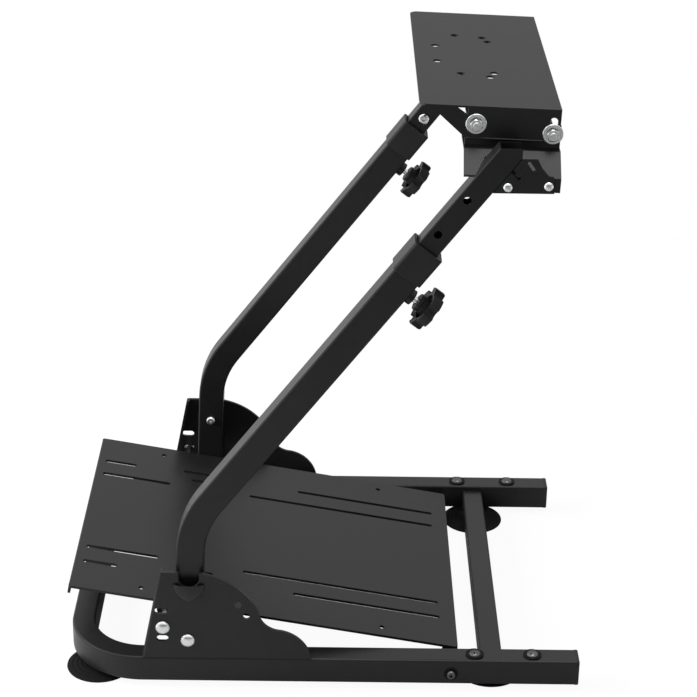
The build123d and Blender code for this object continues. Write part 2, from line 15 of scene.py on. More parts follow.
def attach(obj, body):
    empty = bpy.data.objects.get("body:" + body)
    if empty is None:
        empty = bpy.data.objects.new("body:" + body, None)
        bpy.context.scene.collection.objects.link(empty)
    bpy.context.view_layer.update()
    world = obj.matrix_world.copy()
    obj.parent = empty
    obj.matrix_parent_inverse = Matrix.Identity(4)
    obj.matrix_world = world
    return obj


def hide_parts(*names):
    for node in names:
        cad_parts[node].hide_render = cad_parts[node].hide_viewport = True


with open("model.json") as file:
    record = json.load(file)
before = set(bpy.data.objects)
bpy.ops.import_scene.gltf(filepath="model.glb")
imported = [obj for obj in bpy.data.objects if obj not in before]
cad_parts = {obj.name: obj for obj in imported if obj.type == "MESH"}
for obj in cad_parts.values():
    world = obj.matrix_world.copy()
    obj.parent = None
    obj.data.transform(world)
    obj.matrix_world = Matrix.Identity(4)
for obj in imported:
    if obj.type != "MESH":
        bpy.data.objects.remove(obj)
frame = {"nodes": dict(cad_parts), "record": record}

LOG = logging.getLogger("wheel_stand")
SPECK = 0.000002
CLOSE = 0.1
Pair = tuple[float, float]
Ring = tuple[float, float]
Place = tuple[float, float, float]
Colour = tuple[float, float, float]
Spot = tuple[Vector, Vector, float]
UP = Vector((0.0, 0.0, 1.0))


@dataclass(frozen=True)
class Folds:
    """Angles, in degrees, that part smooth shading from sharp edges."""

    sheet: float = 32.0
    moulded: float = 40.0
    fastener: float = 28.0


FOLDS = Folds()


class Side(Enum):
    """The two sides of the stand, by the sign of Y."""

    LEFT = -1
    RIGHT = 1

    def outward(self) -> Vector:
        """Gives the direction out of this side."""
        return Vector((0, self.value, 0))


class Slot(Enum):
    """The material slots of the record."""

    COAT = "black_powder_coat"
    PLASTIC = "black_plastic"
    RUBBER = "black_rubber"
    ZINC = "zinc_steel"
    BLACK = "black_steel"


def mm(*values: float) -> Vector:
    """Turns a place in millimetres into a vector in metres."""
    return Vector(values) / 1000.0


@dataclass
class Wire:
    """An output socket that can be used in sums."""

    graph: "Graph"
    socket: bpy.types.NodeSocket

    def __add__(self, other: "Wire | float") -> "Wire":
        """Adds a value."""
        return self.graph.sum("ADD", self, other)

    def __radd__(self, other: float) -> "Wire":
        """Adds to a number."""
        return self.graph.sum("ADD", other, self)

    def __rsub__(self, other: float) -> "Wire":
        """Is taken from a number."""
        return self.graph.sum("SUBTRACT", other, self)

    def __mul__(self, other: "Wire | float") -> "Wire":
        """Multiplies by a value."""
        return self.graph.sum("MULTIPLY", self, other)


class Graph:
    """The node tree of one finish or of the world."""

    def __init__(self, tree: bpy.types.NodeTree) -> None:
        """Empties a node tree.

        Args:
            tree: The tree to fill.
        """
        self.tree = tree
        self.tree.nodes.clear()

    def node(self, kind: str, settings: dict[str, Any] | None = None, **sockets: Any) -> bpy.types.Node:
        """Adds a node.

        Args:
            kind: The node's type.
            settings: Its properties, set before its sockets; stops are a ramp's places and greys.
            **sockets: Values or wires, by socket name with _ for a space, or by number as s0, s1.

        Returns:
            The new node.
        """
        made = self.tree.nodes.new(kind)
        for key, value in (settings or {}).items():
            if key == "stops":
                self._stops(made.color_ramp, value)
            else:
                setattr(made, key, value)
        for key, value in sockets.items():
            numbered = key[0] == "s" and key[1:].isdigit()
            socket = made.inputs[int(key[1:]) if numbered else key.replace("_", " ")]
            if isinstance(value, Wire):
                self.tree.links.new(value.socket, socket)
            else:
                socket.default_value = value
        return made

    @staticmethod
    def _stops(ramp: bpy.types.ColorRamp, stops: Sequence[Pair]) -> None:
        """Places the stops of a ramp.

        Args:
            ramp: The ramp to set.
            stops: Pairs of place and grey.
        """
        while len(ramp.elements) < len(stops):
            ramp.elements.new(1.0)
        for element, (place, grey) in zip(ramp.elements, stops):
            element.position = place
            element.color = (grey, grey, grey, 1.0)

    def wire(self, kind: str, output: str | int = 0, settings: dict[str, Any] | None = None,
             **sockets: Any) -> Wire:
        """Adds a node and gives one of its outputs.

        Args:
            kind: The node's type.
            output: The output's name or number.
            settings: Its properties.
            **sockets: Values or wires.

        Returns:
            The output as a wire.
        """
        return Wire(self, self.node(kind, settings, **sockets).outputs[output])

    def sum(self, operation: str, left: Wire | float, right: Wire | float) -> Wire:
        """Adds one Math node.

        Args:
            operation: The Math node's operation.
            left: The first value.
            right: The second value.

        Returns:
            The result.
        """
        return self.wire("ShaderNodeMath", 0, {"operation": operation}, s0=left, s1=right)

    def blend(self, mask: Wire, low: Sequence[float], high: Sequence[float]) -> Wire:
        """Mixes two colours.

        Args:
            mask: 0 for the first colour, 1 for the second.
            low: The first colour.
            high: The second colour.

        Returns:
            The mixed colour.
        """
        return self.wire("ShaderNodeMix", 2, {"data_type": "RGBA"}, s0=mask, s6=(*low, 1.0), s7=(*high, 1.0))


@dataclass(frozen=True)
class Finish:
    """A surface with a fine grain, a slow drift of tone and a measured gloss."""

    slot: Slot
    dark: Colour
    light: Colour
    rough_low: float
    rough_high: float
    grain_scale: float
    grain_depth: float
    drift_scale: float = 24.0
    metallic: float = 0.0
    specular: float = 0.5
    scuffs: float = 0.0

    def make(self) -> bpy.types.Material:
        """Builds the material.

        Returns:
            A procedural material on object coordinates.
        """
        material = bpy.data.materials.new(f"finish_{self.slot.value}")
        material.use_nodes = True
        graph = Graph(material.node_tree)
        place = graph.wire("ShaderNodeTexCoord", "Object")
        grain = graph.wire("ShaderNodeTexNoise", 0, None, Vector=place, Scale=self.grain_scale, Detail=2.0,
                           Roughness=0.55)
        drift = graph.wire("ShaderNodeTexNoise", 0, None, Vector=place, Scale=self.drift_scale, Detail=4.0,
                           Roughness=0.6)
        tone = graph.wire("ShaderNodeValToRGB", 0, {"stops": [(0.32, 0.0), (0.70, 1.0)]}, Fac=drift)
        colour = graph.blend(tone * 0.7 + grain * 0.3, self.dark, self.light)
        rough = self.rough_low + (tone * 0.6 + grain * 0.4) * (self.rough_high - self.rough_low)
        if self.scuffs:
            rough = rough + self._scuff(graph, place) * self.scuffs
        bump = graph.wire("ShaderNodeBump", 0, None, Strength=1.0, Distance=self.grain_depth, Height=grain)
        shader = graph.wire("ShaderNodeBsdfPrincipled", 0, None, Base_Color=colour, Metallic=self.metallic,
                            Roughness=rough, Specular_IOR_Level=self.specular, Normal=bump)
        graph.node("ShaderNodeOutputMaterial", None, Surface=shader)
        return material

    @staticmethod
    def _scuff(graph: Graph, place: Wire) -> Wire:
        """Adds thin, sparse handling marks.

        Args:
            graph: The finish's nodes.
            place: Object coordinates.

        Returns:
            A mask of marks, from 0 to 1.
        """
        turned = graph.wire("ShaderNodeMapping", 0, None, Vector=place, Rotation=(0.4, 0.3, 0.9),
                            Scale=(1.0, 9.0, 9.0))
        lines = graph.wire("ShaderNodeTexNoise", 0, None, Vector=turned, Scale=38.0, Detail=3.0)
        return graph.wire("ShaderNodeValToRGB", 0, {"stops": [(0.62, 0.0), (0.72, 1.0)]}, Fac=lines)


FINISHES: tuple[Finish, ...] = (
    Finish(Slot.COAT, (0.0095, 0.0097, 0.0101), (0.0140, 0.0142, 0.0147), 0.30, 0.38, 1500.0, 0.00004,
           specular=0.34, scuffs=0.05),
    Finish(Slot.PLASTIC, (0.0300, 0.0300, 0.0305), (0.0370, 0.0370, 0.0376), 0.32, 0.42, 2100.0, 0.00003,
           specular=0.10),
    Finish(Slot.RUBBER, (0.0060, 0.0060, 0.0062), (0.0095, 0.0095, 0.0098), 0.55, 0.68, 1300.0, 0.00005,
           specular=0.10),
    Finish(Slot.ZINC, (0.78, 0.79, 0.80), (0.93, 0.935, 0.94), 0.20, 0.34, 900.0, 0.00002, drift_scale=90.0,
           metallic=1.0),
    Finish(Slot.BLACK, (0.1000, 0.1000, 0.1030), (0.1600, 0.1600, 0.1640), 0.12, 0.20, 1100.0, 0.00002,
           metallic=1.0),
)


class Bench:
    """Modelling moves that the pieces share."""

    @staticmethod
    def clear() -> None:
        """Leaves edit mode and deselects everything."""
        if bpy.context.object and bpy.context.object.mode != "OBJECT":
            bpy.ops.object.mode_set(mode="OBJECT")
        bpy.ops.object.select_all(action="DESELECT")

    @staticmethod
    def only(piece: bpy.types.Object) -> None:
        """Selects one piece and makes it active.

        Args:
            piece: The piece to work on.
        """
        Bench.clear()
        piece.select_set(True)
        bpy.context.view_layer.objects.active = piece

    @staticmethod
    def edit(piece: bpy.types.Object) -> None:
        """Opens a piece in edit mode with all of it selected.

        Args:
            piece: The piece to edit.
        """
        Bench.only(piece)
        bpy.ops.object.mode_set(mode="EDIT")
        bpy.ops.mesh.select_all(action="SELECT")

    @staticmethod
    def turned(name: str, rings: Sequence[Ring], sides: int = 48) -> bpy.types.Object:
        """Makes a turned piece along +Z: a disc is extruded and scaled from ring to ring.

        Args:
            name: The piece's name.
            rings: Radius and height of each ring in millimetres, from the bottom.
            sides: How many corners a ring has.

        Returns:
            The closed piece.
        """
        Bench.clear()
        radius, height = rings[0]
        bpy.ops.mesh.primitive_circle_add(vertices=sides, radius=radius / 1000, fill_type="NGON",
                                          location=mm(0, 0, height))
        piece = bpy.context.object
        piece.name = name
        bpy.ops.object.transform_apply(location=True, rotation=True, scale=True)
        Bench.edit(piece)
        for (r_old, z_old), (r_new, z_new) in zip(rings, rings[1:]):
            bpy.ops.mesh.extrude_region_move(TRANSFORM_OT_translate={"value": mm(0, 0, z_new - z_old)})
            grow = r_new / r_old
            bpy.ops.transform.resize(value=(grow, grow, 1.0), center_override=mm(0, 0, z_new))
        bpy.ops.mesh.select_all(action="SELECT")
        bpy.ops.mesh.normals_make_consistent(inside=False)
        bpy.ops.object.mode_set(mode="OBJECT")
        return piece

    @staticmethod
    def prism(name: str, corners: int, radius: float, low: float, high: float,
              turn: float = 0.0) -> bpy.types.Object:
        """Makes a straight prism along +Z.

        Args:
            name: The piece's name.
            corners: How many sides it has.
            radius: The corners' radius in millimetres.
            low: The lower end's height.
            high: The upper end's height.
            turn: How far it is turned about Z, in degrees.

        Returns:
            The prism.
        """
        piece = Bench.turned(name, [(radius, low), (radius, high)], corners)
        piece.data.transform(Matrix.Rotation(math.radians(turn), 4, "Z"))
        return piece

    @staticmethod
    def cut(piece: bpy.types.Object, tool: bpy.types.Object) -> None:
        """Cuts one piece with another and takes the tool away.

        Args:
            piece: The piece that stays.
            tool: The piece that is used up.
        """
        Bench.only(piece)
        cutter = piece.modifiers.new("cut", "BOOLEAN")
        cutter.operation = "DIFFERENCE"
        cutter.solver = "EXACT"
        cutter.object = tool
        bpy.ops.object.modifier_apply(modifier=cutter.name)
        bpy.data.objects.remove(tool)

    @staticmethod
    def trim(piece: bpy.types.Object, at: Vector, outward: Vector) -> None:
        """Takes off what lies beyond a plane and closes the cut.

        Args:
            piece: The piece to trim.
            at: A point on the plane, in metres.
            outward: Where the offcut lies.
        """
        Bench.edit(piece)
        bpy.ops.mesh.bisect(plane_co=at, plane_no=outward, use_fill=True, clear_outer=True)
        bpy.ops.object.mode_set(mode="OBJECT")

    @staticmethod
    def round_edges(piece: bpy.types.Object, width: float, segments: int = 2, angle: float = 35.0) -> None:
        """Breaks a piece's sharp edges.

        Args:
            piece: The piece to finish.
            width: The width of the rounding in millimetres.
            segments: How many steps it has.
            angle: The smallest angle between faces that counts as sharp, in degrees.
        """
        Bench.only(piece)
        edge = piece.modifiers.new("edge_break", "BEVEL")
        edge.width = width / 1000
        edge.segments = segments
        edge.limit_method = "ANGLE"
        edge.angle_limit = math.radians(angle)
        edge.harden_normals = False
        bpy.ops.object.modifier_apply(modifier=edge.name)

    @staticmethod
    def clean(piece: bpy.types.Object) -> None:
        """Takes out edges and faces of no size.

        Args:
            piece: The piece to clean.
        """
        Bench.edit(piece)
        bpy.ops.mesh.dissolve_degenerate(threshold=SPECK)
        bpy.ops.object.mode_set(mode="OBJECT")

    @staticmethod
    def smooth(piece: bpy.types.Object, angle: float = FOLDS.sheet) -> None:
        """Shades a piece smooth up to an angle, with its large faces left flat.

        Args:
            piece: The piece to shade.
            angle: The angle in degrees.
        """
        Bench.only(piece)
        bpy.ops.object.shade_smooth_by_angle(angle=math.radians(angle))
        weigh = piece.modifiers.new("face_weight", "WEIGHTED_NORMAL")
        weigh.keep_sharp = True
        weigh.weight = 100
        bpy.ops.object.modifier_apply(modifier=weigh.name)

    @staticmethod
    def bend_edges(piece: bpy.types.Object, chosen: Callable[[Vector, Vector], bool], width: float,
                   segments: int = 4) -> None:
        """Rounds the bends of a sheet.

        Args:
            piece: The sheet.
            chosen: Says of an edge's two ends whether it is a bend.
            width: How far the bend reaches from the edge, in millimetres.
            segments: How many steps it has.
        """
        Bench.only(piece)
        bpy.ops.object.mode_set(mode="EDIT")
        bpy.ops.mesh.select_mode(type="EDGE")
        bpy.ops.mesh.select_all(action="DESELECT")
        mesh = bmesh.from_edit_mesh(piece.data)
        found = 0
        for edge in mesh.edges:
            sharp = len(edge.link_faces) == 2 and edge.calc_face_angle(0.0) > math.radians(12)
            if sharp and chosen(edge.verts[0].co * 1000, edge.verts[1].co * 1000):
                edge.select_set(True)
                found += 1
        bmesh.update_edit_mesh(piece.data)
        if found:
            bpy.ops.mesh.bevel(offset=width / 1000, offset_type="OFFSET", segments=segments, affect="EDGES",
                               clamp_overlap=True)
        bpy.ops.object.mode_set(mode="OBJECT")
        LOG.info("%s: %d bend edges", piece.name, found)

    @staticmethod
    def copy_of(node: str, name: str) -> bpy.types.Object:
        """Copies a CAD node and merges its loose triangles into faces.

        Args:
            node: The node's name.
            name: The copy's name.

        Returns:
            The copy, with clean faces and no ties to the node.
        """
        source = frame["nodes"][node]
        piece = source.copy()
        piece.data = source.data.copy()
        piece.parent = None
        piece.name = name
        for key in list(piece.keys()):
            del piece[key]
        bpy.context.scene.collection.objects.link(piece)
        Bench.only(piece)
        bpy.ops.mesh.customdata_custom_splitnormals_clear()
        Bench.edit(piece)
        bpy.ops.mesh.remove_doubles(threshold=SPECK)
        bpy.ops.mesh.dissolve_limited(angle_limit=math.radians(0.6))
        bpy.ops.object.mode_set(mode="OBJECT")
        return piece

    @staticmethod
    def place(piece: bpy.types.Object, at: Vector, axis: Vector, turn: float = 0.0) -> bpy.types.Object:
        """Sets a piece that was made along +Z where it belongs, with its place in its mesh.

        Args:
            piece: The piece.
            at: Where its origin goes, in metres.
            axis: Where its +Z goes.
            turn: How far it is turned about its axis first, in degrees.

        Returns:
            The same piece.
        """
        Bench.only(piece)
        facing = axis.normalized().to_track_quat("Z", "Y").to_matrix().to_4x4()
        piece.matrix_world = Matrix.Translation(at) @ facing @ Matrix.Rotation(math.radians(turn), 4, "Z")
        bpy.context.view_layer.update()
        bpy.ops.object.transform_apply(location=True, rotation=True, scale=True)
        return piece

    @staticmethod
    def twin(piece: bpy.types.Object, name: str) -> bpy.types.Object:
        """Copies a piece with a mesh of its own.

        Args:
            piece: The piece to copy.
            name: The copy's name.

        Returns:
            The copy.
        """
        made = piece.copy()
        made.data = piece.data.copy()
        made.name = name
        bpy.context.scene.collection.objects.link(made)
        return made

    @staticmethod
    def join(name: str, pieces: Sequence[bpy.types.Object]) -> bpy.types.Object:
        """Joins pieces into one object.

        Args:
            name: The joined object's name.
            pieces: The pieces.

        Returns:
            The joined object.
        """
        Bench.only(pieces[0])
        for piece in pieces[1:]:
            piece.select_set(True)
        bpy.ops.object.join()
        made = bpy.context.object
        made.name = name
        return made


@dataclass
class Workshop:
    """Holds the finishes and hands finished pieces to the frame."""

    materials: dict[Slot, bpy.types.Material] = field(default_factory=dict)

    def mix(self) -> None:
        """Makes every finish once."""
        for finish in FINISHES:
            self.materials[finish.slot] = finish.make()

    def dress(self, piece: bpy.types.Object, slot: Slot) -> None:
        """Gives a piece its finish.

        Args:
            piece: The piece or CAD node.
            slot: Which finish.
        """
        piece.data.materials.clear()
        piece.data.materials.append(self.materials[slot])

    def dress_nodes(self) -> None:
        """Gives every CAD node the finish that the record names for it."""
        for row in frame["record"]["subparts"]:
            self.dress(frame["nodes"][row["node"]], Slot(row["material_slot"]))

    def deliver(self, piece: bpy.types.Object, slot: Slot, body: str, *nodes: str) -> None:
        """Finishes a piece and sets it on its body.

        Args:
            piece: The piece.
            slot: Its finish.
            body: The body that carries it.
            *nodes: The CAD nodes that it stands for.
        """
        self.dress(piece, slot)
        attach(piece, body)
        if nodes:
            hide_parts(*nodes)
        LOG.info("%s on %s: %d faces", piece.name, body, len(piece.data.polygons))


@dataclass
class SheetMetal:
    """The bent plates, with rounded bends and broken edges."""

    half_width: float = 244.0
    half_plate: float = 195.0
    plate_back: float = 103.9
    plate_middle: float = 757.0
    plate_low: float = 748.0
    corner_cut: Pair = (6.5, 21.0)
    hem_ends: tuple[Pair, Pair] = ((158.2, 719.9), (264.4, 716.3))
    hem_radius: float = 1.1
    flat_end: float = 198.0
    flange_end: float = 228.4
    bracket_foot: float = 44.0
    bracket_back: Pair = (-226.5, -198.0)
    bracket_lean: float = 4.0
    bracket_edge: float = 6.0
    lip: float = 2.2
    lip_steps: int = 5
    notch_middle: float = -165.5
    notch_half: float = 12.5
    notch_floor: float = 143.6
    notch_top: float = 167.1
    pocket_depth: float = 6.5
    pocket_wall: float = 2.2
    pocket_rings: tuple[Ring, ...] = ((3.0, -17.0), (9.0, -14.0), (15.0, -8.0), (18.6, -1.0), (19.8, 4.0),
                                      (20.2, 8.0))
    tray_floor: float = 684.0
    pedal_edge: Pair = (-318.0, 119.0)
    bend: float = 2.6
    edge: float = 0.55

    def wheel_plate(self, shop: Workshop) -> None:
        """Makes the wheel plate with cut back corners and round bends along its two flanges.

        Args:
            shop: The workshop.
        """
        piece = Bench.copy_of("wheel_plate", "wheel_plate_sheet")
        along, across = self.corner_cut
        for side in Side:
            corner = mm(self.plate_back + along, side.value * self.half_plate, self.plate_middle)
            Bench.trim(piece, corner, Vector((-across, side.value * along, 0.0)))

        def bends(a: Vector, b: Vector) -> bool:
            """Takes the long upper edges above the flanges."""
            outer = abs(abs(a.y) - self.half_plate) < CLOSE and abs(a.y - b.y) < CLOSE
            return outer and min(a.z, b.z) > self.plate_low and abs(a.x - b.x) > 20.0

        Bench.bend_edges(piece, bends, self.bend)
        piece = Bench.join("wheel_plate_sheet", [piece, self.hem(Side.LEFT), self.hem(Side.RIGHT)])
        self._finish(piece, shop, "wheel_plate", "wheel_plate")

    def hem(self, side: Side) -> bpy.types.Object:
        """Makes the turned-out hem along a flange's lower edge.

        Args:
            side: Which flange.

        Returns:
            The hem as a thin round bar.
        """
        start, end = (mm(x, side.value * self.half_plate, z) for x, z in self.hem_ends)
        length, r = (end - start).length * 1000, self.hem_radius
        rings = [(r * 0.6, 0.0), (r, r * 0.4), (r, length - r * 0.4), (r * 0.6, length)]
        return Bench.place(Bench.turned("hem", rings, 12), start, end - start)

    def tray(self, shop: Workshop) -> None:
        """Makes the tray with round bends where its ends slope down and turn.

        Args:
            shop: The workshop.
        """
        piece = Bench.copy_of("tray", "tray_sheet")

        def bends(a: Vector, b: Vector) -> bool:
            """Takes the edges along X at the two bends of each end."""
            along = abs(a.y - b.y) < CLOSE and abs(a.x - b.x) > 3.0 and max(a.z, b.z) > self.tray_floor
            return along and min(abs(abs(a.y) - y) for y in (self.flat_end, self.flange_end)) < 2 * CLOSE

        Bench.bend_edges(piece, bends, self.bend)
        self._finish(piece, shop, "slide_top", "tray")

    def pedal_plate(self, shop: Workshop) -> None:
        """Makes the pedal plate with a round bend at its high edge.

        Args:
            shop: The workshop.
        """
        piece = Bench.copy_of("pedal_plate", "pedal_plate_sheet")
        back, low = self.pedal_edge

        def bends(a: Vector, b: Vector) -> bool:
            """Takes the long edge across the high end."""
            return max(a.x, b.x) < back and min(a.z, b.z) > low and abs(a.y - b.y) > 100.0

        Bench.bend_edges(piece, bends, self.bend)
        self._finish(piece, shop, "base", "pedal_plate")

    def bracket(self, shop: Workshop, side: Side) -> None:
        """Makes a side bracket with a leaning back edge and a rolled lip round its notch.

        Args:
            shop: The workshop.
            side: Which bracket.
        """
        label = side.name.lower()
        piece = Bench.copy_of(f"{label}_side_bracket", f"{label}_bracket_sheet")
        face = side.value * self.half_width
        low, high = self.bracket_back
        for vertex in piece.data.vertices:
            up = (vertex.co.z * 1000 - self.bracket_foot) / (self.notch_top - self.bracket_foot)
            if vertex.co.x * 1000 < low + (high - low) * up + self.bracket_edge:
                vertex.co.x -= self.bracket_lean * up / 1000

        def lip(a: Vector, b: Vector) -> bool:
            """Takes the notch's edge on the outer face.

            Args:
                a: The edge's one end, in millimetres.
                b: Its other end.

            Returns:
                Whether the edge is part of the lip.
            """
            middle = (a + b) / 2
            outer = abs(a.y - face) < CLOSE and abs(b.y - face) < CLOSE
            near = abs(middle.x - self.notch_middle) < self.notch_half + 0.6
            return outer and near and self.notch_floor < middle.z < self.notch_top

        Bench.bend_edges(piece, lip, self.lip, self.lip_steps)
        piece = Bench.join(f"{label}_bracket_sheet", [piece, self.pocket(side)])
        self._finish(piece, shop, "base", f"{label}_side_bracket")

    def pocket(self, side: Side) -> bpy.types.Object:
        """Makes the pressed-out pocket that the upright stands in, below the notch.

        Args:
            side: Which bracket.

        Returns:
            A half cup on the bracket's outer face.
        """
        outer, sign = self.pocket_rings, side.value
        inner = [(max(r - self.pocket_wall, 1.0), z + 2.4) for r, z in outer] + [(19.0, 16.0)]
        cup = Bench.turned("pocket", outer, 48)
        Bench.cut(cup, Bench.turned("hollow", inner, 48))
        flatten = Matrix.Diagonal((1.0, self.pocket_depth / outer[-1][0], 1.0, 1.0))
        rest = Matrix.Translation(mm(self.notch_middle, sign * (self.half_width - 0.6), self.notch_floor))
        cup.data.transform(rest @ flatten)
        Bench.trim(cup, mm(self.notch_middle, sign * (self.half_width - 0.4), 0.0), Vector((0.0, -sign, 0.0)))
        return cup

    def gusset(self, shop: Workshop, side: Side) -> None:
        """Makes a gusset with broken edges.

        Args:
            shop: The workshop.
            side: Which gusset.
        """
        label = side.name.lower()
        piece = Bench.copy_of(f"{label}_gusset", f"{label}_gusset_sheet")
        self._finish(piece, shop, "slide_top", f"{label}_gusset")

    def _finish(self, piece: bpy.types.Object, shop: Workshop, body: str, node: str) -> None:
        """Breaks the edges, shades and delivers a sheet.

        Args:
            piece: The sheet.
            shop: The workshop.
            body: The body that carries it.
            node: The node that it stands for.
        """
        Bench.round_edges(piece, self.edge)
        Bench.clean(piece)
        Bench.smooth(piece)
        shop.deliver(piece, Slot.COAT, body, node)

    def build(self, shop: Workshop) -> None:
        """Makes all plates.

        Args:
            shop: The workshop.
        """
        self.wheel_plate(shop)
        self.tray(shop)
        self.pedal_plate(shop)
        for side in Side:
            self.bracket(shop, side)
            self.gusset(shop, side)


@dataclass
class RubberFeet:
    """Four ribbed feet under the base."""

    radius: float = 42.5
    front_x: float = -285.69
    rear_x: float = 215.02
    y: float = 195.0
    hub_radius: float = 14.0
    height: float = 9.0
    ribs: int = 3
    rib_step: Pair = (6.0, 0.75)

    def profile(self) -> list[Ring]:
        """Gives the rings of one foot.

        Returns:
            Radius and height of each ring, from the floor up.
        """
        r = self.radius
        rings = [(r - 1.2, 0.0), (r - 0.3, 0.4), (r, 1.3), (r - 0.3, 2.3), (r - 1.2, 2.8), (r - 3.0, 3.0)]
        for step in range(self.ribs):
            inner = r - 4.4 - self.rib_step[0] * step
            rise = 3.2 + self.rib_step[1] * step
            rings += [(inner, rise), (inner - 0.7, rise + 0.55), (inner - 1.9, rise + 0.6),
                      (inner - 2.6, rise + 0.2)]
        rings += [(self.hub_radius + 6.0, 5.6), (self.hub_radius + 1.8, 6.2), (self.hub_radius + 0.3, 7.0)]
        return rings + [(self.hub_radius, 8.4), (self.hub_radius - 0.4, self.height)]

    def build(self, shop: Workshop) -> None:
        """Turns one foot and sets its copies.

        Args:
            shop: The workshop.
        """
        pattern = Bench.turned("foot_pattern", self.profile(), 96)
        for end, x in (("front", self.front_x), ("rear", self.rear_x)):
            for side in Side:
                name = f"{end}_{side.name.lower()}_foot"
                foot = Bench.twin(pattern, f"{name}_rubber")
                Bench.place(foot, mm(x, side.value * self.y, 0.0), UP)
                Bench.smooth(foot, FOLDS.moulded)
                shop.deliver(foot, Slot.RUBBER, "base", name)
        bpy.data.objects.remove(pattern)


@dataclass
class StarKnobs:
    """The two clamp knobs on the uprights."""

    radius: float = 26.0
    lobes: int = 6
    thickness: float = 14.0
    reach: float = 40.5
    hub_radius: float = 11.0
    hub_height: float = 8.0
    hollow: float = 8.0
    hollow_radius: float = 16.2
    dish: float = 2.6
    scallop: float = 7.0
    scallop_place: float = 26.4
    x: float = 81.064
    y: float = 219.9
    z: float = 546.03
    slope: float = 52.6
    turn: float = 14.0
    rim: float = 1.0
    rim_steps: int = 3

    def axis(self) -> Vector:
        """Gives the screws' direction, out of the tubes' lower side."""
        return Vector((math.sin(math.radians(self.slope)), 0.0, -math.cos(math.radians(self.slope))))

    def star(self) -> bpy.types.Object:
        """Cuts a disc into a star and rounds it.

        Returns:
            The star, with its back at the knob's reach.
        """
        low, high = self.reach, self.reach + self.thickness
        r = self.radius
        rings = [(r - 1.8, low), (r - 0.5, low + 0.5), (r, low + 1.7), (r, high - 1.8), (r - 0.6, high - 0.6),
                 (r - 1.9, high)]
        star = Bench.turned("knob_star", rings, 96)
        for lobe in range(self.lobes):
            angle = 2 * math.pi * (lobe + 0.5) / self.lobes
            tool = Bench.prism("scallop", 40, self.scallop, low - 5.0, high + 5.0)
            along, across = self.scallop_place * math.cos(angle), self.scallop_place * math.sin(angle)
            tool.data.transform(Matrix.Translation(mm(along, across, 0.0)))
            Bench.cut(star, tool)
        Bench.round_edges(star, self.rim, self.rim_steps, FOLDS.moulded)
        bottom = low + self.hollow
        inside = [(r - 0.6, low - 2.0), (r - 1.2, low + 0.2), (self.hollow_radius, low + self.dish),
                  (self.hollow_radius - 0.6, bottom - 1.0), (self.hollow_radius - 1.8, bottom)]
        Bench.cut(star, Bench.turned("hollow", inside, 48))
        return star

    def build(self, shop: Workshop) -> None:
        """Makes one knob and sets both.

        Args:
            shop: The workshop.
        """
        low, high, hub = self.reach, self.reach + self.thickness, self.hub_radius
        end = low - self.hub_height
        back = [(hub - 1.2, end), (hub - 0.3, end + 0.4), (hub, end + 1.4), (hub, end + 3.6),
                (hub - 1.5, end + 4.0), (hub - 1.5, end + 5.0), (hub + 0.2, end + 5.4),
                (hub + 0.4, low + 2.0), (hub + 0.6, low + self.hollow + 1.0)]
        cap = [(hub + 2.4, high - 1.0), (hub + 2.2, high + 0.2), (hub + 1.6, high + 0.5),
               (hub - 1.0, high + 0.4), (hub - 2.4, high + 0.1), (hub - 4.6, high + 0.15),
               (hub - 8.0, high + 0.5), (hub - 10.0, high + 0.6)]
        pattern = Bench.join("knob_pattern", [self.star(), Bench.turned("knob_back", back, 40),
                                              Bench.turned("knob_cap", cap, 40)])
        for side in Side:
            label = side.name.lower()
            knob = Bench.twin(pattern, f"{label}_star_knob")
            Bench.place(knob, mm(self.x, side.value * self.y, self.z), self.axis(), self.turn)
            Bench.smooth(knob, FOLDS.moulded)
            shop.deliver(knob, Slot.PLASTIC, f"{label}_knob", f"{label}_clamp_knob")
        bpy.data.objects.remove(pattern)


class Head(Enum):
    """The kinds of bolt head."""

    BUTTON = "button"
    DOME = "dome"
    HEX = "hex"


@dataclass
class BoltPlan:
    """A left and a right bolt of one CAD node, each along Y."""

    node: str
    body: str
    slot: Slot
    places: tuple[Pair, ...]
    outside: float
    inside: float
    head: Head
    head_radius: float
    head_height: float
    nut_radius: float = 6.5
    nut_height: float = 5.0
    shank: float = 4.0
    washer: float = 0.0
    spacer: tuple[float, float, float] | None = None


@dataclass
class ScrewPlan:
    """A left and a right screw of one CAD node, each with its head on the inner side."""

    node: str
    body: str
    place: Pair
    face: float
    head_radius: float
    head_height: float
    shank: float
    depth: float


